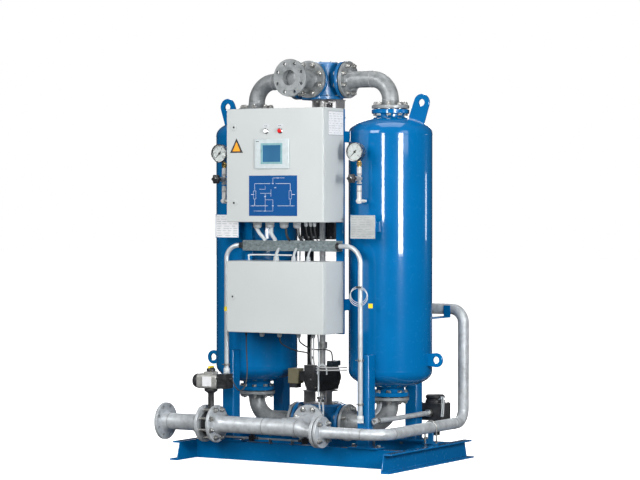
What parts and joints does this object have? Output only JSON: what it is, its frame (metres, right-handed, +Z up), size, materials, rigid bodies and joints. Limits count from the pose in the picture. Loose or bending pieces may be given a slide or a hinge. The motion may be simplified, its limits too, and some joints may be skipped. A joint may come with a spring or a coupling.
{
  "type": "adsorption air dryer",
  "caption": "Twin-tower adsorption dryer for compressed air on a steel channel skid, with changeover valves, flanged piping and hinged control enclosures.",
  "frame": {"origin": "centre of the machine's box at floor level, under the skid", "axes": "+X to the machine's right seen from the cabinet side, +Y to the back, +Z up"},
  "size_m": [1.492, 1.04, 2.152],
  "materials": {
    "machine_blue": "gloss enamel on steel",
    "galvanised_steel": "dull hot-dip galvanised or silver-grey painted steel",
    "cabinet_grey": "light grey textured powder coat",
    "black_plastic": "black satin",
    "cast_aluminium": "cast and blasted",
    "bright_steel": "bright turned or nickel-plated",
    "gauge_steel": "polished stainless",
    "panel_plastic": "grey moulded bezel",
    "red_plastic": "red lens",
    "white_plastic": "white lens",
    "desiccant_beads": "porous beads",
    "cable_rubber": "matt black sheath"
  },
  "bodies": {
    "frame": {"skid_beam_left": "machine_blue", "skid_beam_right": "machine_blue", "cross_beam_front": "machine_blue", "cross_beam_rear": "machine_blue", "tower_left": "machine_blue", "tower_right": "machine_blue", "desiccant_left": "desiccant_beads", "desiccant_right": "desiccant_beads", "leg_left_front": "machine_blue", "leg_left_rear": "machine_blue", "leg_right_front": "machine_blue", "leg_right_rear": "machine_blue", "top_elbow_left": "galvanised_steel", "top_elbow_right": "galvanised_steel", "bottom_elbow_left": "galvanised_steel", "bottom_elbow_right": "galvanised_steel", "outlet_spool": "galvanised_steel", "inlet_spool": "galvanised_steel", "inlet_manifold": "galvanised_steel", "regen_line": "galvanised_steel", "regen_riser": "galvanised_steel", "regen_cooler": "galvanised_steel", "cooler_return_pipe": "galvanised_steel", "vent_pipe": "galvanised_steel", "drain_valve": "black_plastic", "top_valve_body": "machine_blue", "bottom_valve_body": "machine_blue", "bottom_valve_yoke": "bright_steel", "changeover_actuator": "black_plastic", "butterfly_body": "cast_aluminium", "inlet_actuator": "cast_aluminium", "control_air_unit": "black_plastic", "post_left": "machine_blue", "post_right": "machine_blue", "cable_tray": "galvanised_steel", "conduit_left": "galvanised_steel", "conduit_right": "galvanised_steel", "cabinet_shell": "cabinet_grey", "power_box_shell": "cabinet_grey", "mounting_plate": "galvanised_steel", "gauge_left": "gauge_steel", "gauge_right": "gauge_steel", "actuator_cable": "cable_rubber"},
    "cabinet_door": {"cabinet_door": "cabinet_grey", "touch_panel": "panel_plastic"},
    "door_lock_upper": {"door_lock_upper": "bright_steel"},
    "door_lock_lower": {"door_lock_lower": "bright_steel"},
    "start_button": {"start_button": "white_plastic"},
    "stop_button": {"stop_button": "red_plastic"},
    "power_box_door": {"power_box_door": "cabinet_grey"},
    "power_box_lock": {"power_box_lock": "bright_steel"},
    "butterfly": {"butterfly_disc": "bright_steel"},
    "position_indicator": {"position_indicator": "black_plastic"},
    "bottom_valve_rotor": {"bottom_valve_rotor": "bright_steel", "link_shaft": "bright_steel"},
    "top_valve_rotor": {"top_valve_rotor": "bright_steel"},
    "gauge_needle_left": {"gauge_needle_left": "black_plastic"},
    "gauge_needle_right": {"gauge_needle_right": "black_plastic"},
    "gauge_knob_left": {"gauge_knob_left": "black_plastic"},
    "gauge_knob_right": {"gauge_knob_right": "black_plastic"}
  },
  "joints": [
    {"name": "cabinet_door_hinge", "type": "hinge", "parent": "frame", "child": "cabinet_door", "pos_m": [0.28, -0.447, 1.588], "axis": [0, 0, 1], "range_deg": [0, 130]},
    {"name": "door_lock_upper_turn", "type": "hinge", "parent": "cabinet_door", "child": "door_lock_upper", "pos_m": [-0.273, -0.447, 1.791], "axis": [0, 1, 0], "range_deg": [0, 90]},
    {"name": "door_lock_lower_turn", "type": "hinge", "parent": "cabinet_door", "child": "door_lock_lower", "pos_m": [-0.273, -0.447, 1.389], "axis": [0, 1, 0], "range_deg": [0, 90]},
    {"name": "start_button_press", "type": "slide", "parent": "cabinet_door", "child": "start_button", "axis": [0, 1, 0], "range_m": [0, 0.004], "stiffness_N_per_m": 400},
    {"name": "stop_button_press", "type": "slide", "parent": "cabinet_door", "child": "stop_button", "axis": [0, 1, 0], "range_m": [0, 0.004], "stiffness_N_per_m": 400},
    {"name": "power_box_door_hinge", "type": "hinge", "parent": "frame", "child": "power_box_door", "pos_m": [0.28, -0.447, 0.8915], "axis": [0, 0, 1], "range_deg": [0, 130]},
    {"name": "power_box_lock_turn", "type": "hinge", "parent": "power_box_door", "child": "power_box_lock", "pos_m": [-0.282, -0.447, 0.891], "axis": [0, 1, 0], "range_deg": [0, 90]},
    {"name": "butterfly_turn", "type": "hinge", "parent": "frame", "child": "butterfly", "pos_m": [-0.439, -0.42, 0.205], "axis": [0, 0, 1], "range_deg": [0, 90]},
    {"name": "indicator_turn", "type": "hinge", "parent": "frame", "child": "position_indicator", "pos_m": [-0.439, -0.42, 0.4863], "axis": [0, 0, 1], "range_deg": [0, 90]},
    {"name": "changeover_turn", "type": "hinge", "parent": "frame", "child": "bottom_valve_rotor", "pos_m": [0.008, 0, 0.205], "axis": [0, 0, 1], "range_deg": [0, 90]},
    {"name": "top_changeover_turn", "type": "hinge", "parent": "frame", "child": "top_valve_rotor", "pos_m": [0.008, 0, 2.052], "axis": [0, 0, 1], "range_deg": [0, 90]},
    {"name": "gauge_left_pointer", "type": "hinge", "parent": "frame", "child": "gauge_needle_left", "pos_m": [-0.444, -0.299, 1.656], "axis": [0, 1, 0], "range_deg": [0, 270]},
    {"name": "gauge_right_pointer", "type": "hinge", "parent": "frame", "child": "gauge_needle_right", "pos_m": [0.401, -0.299, 1.656], "axis": [0, 1, 0], "range_deg": [0, 270]},
    {"name": "gauge_left_shutoff", "type": "hinge", "parent": "frame", "child": "gauge_knob_left", "pos_m": [-0.444, -0.3373, 1.517], "axis": [0, 1, 0], "range_deg": [-1080, 0]},
    {"name": "gauge_right_shutoff", "type": "hinge", "parent": "frame", "child": "gauge_knob_right", "pos_m": [0.401, -0.3373, 1.517], "axis": [0, 1, 0], "range_deg": [-1080, 0]}
  ],
  "couplings": [
    {"joint": "indicator_turn", "follows": "butterfly_turn", "ratio": 1},
    {"joint": "top_changeover_turn", "follows": "changeover_turn", "ratio": 1}
  ]
}
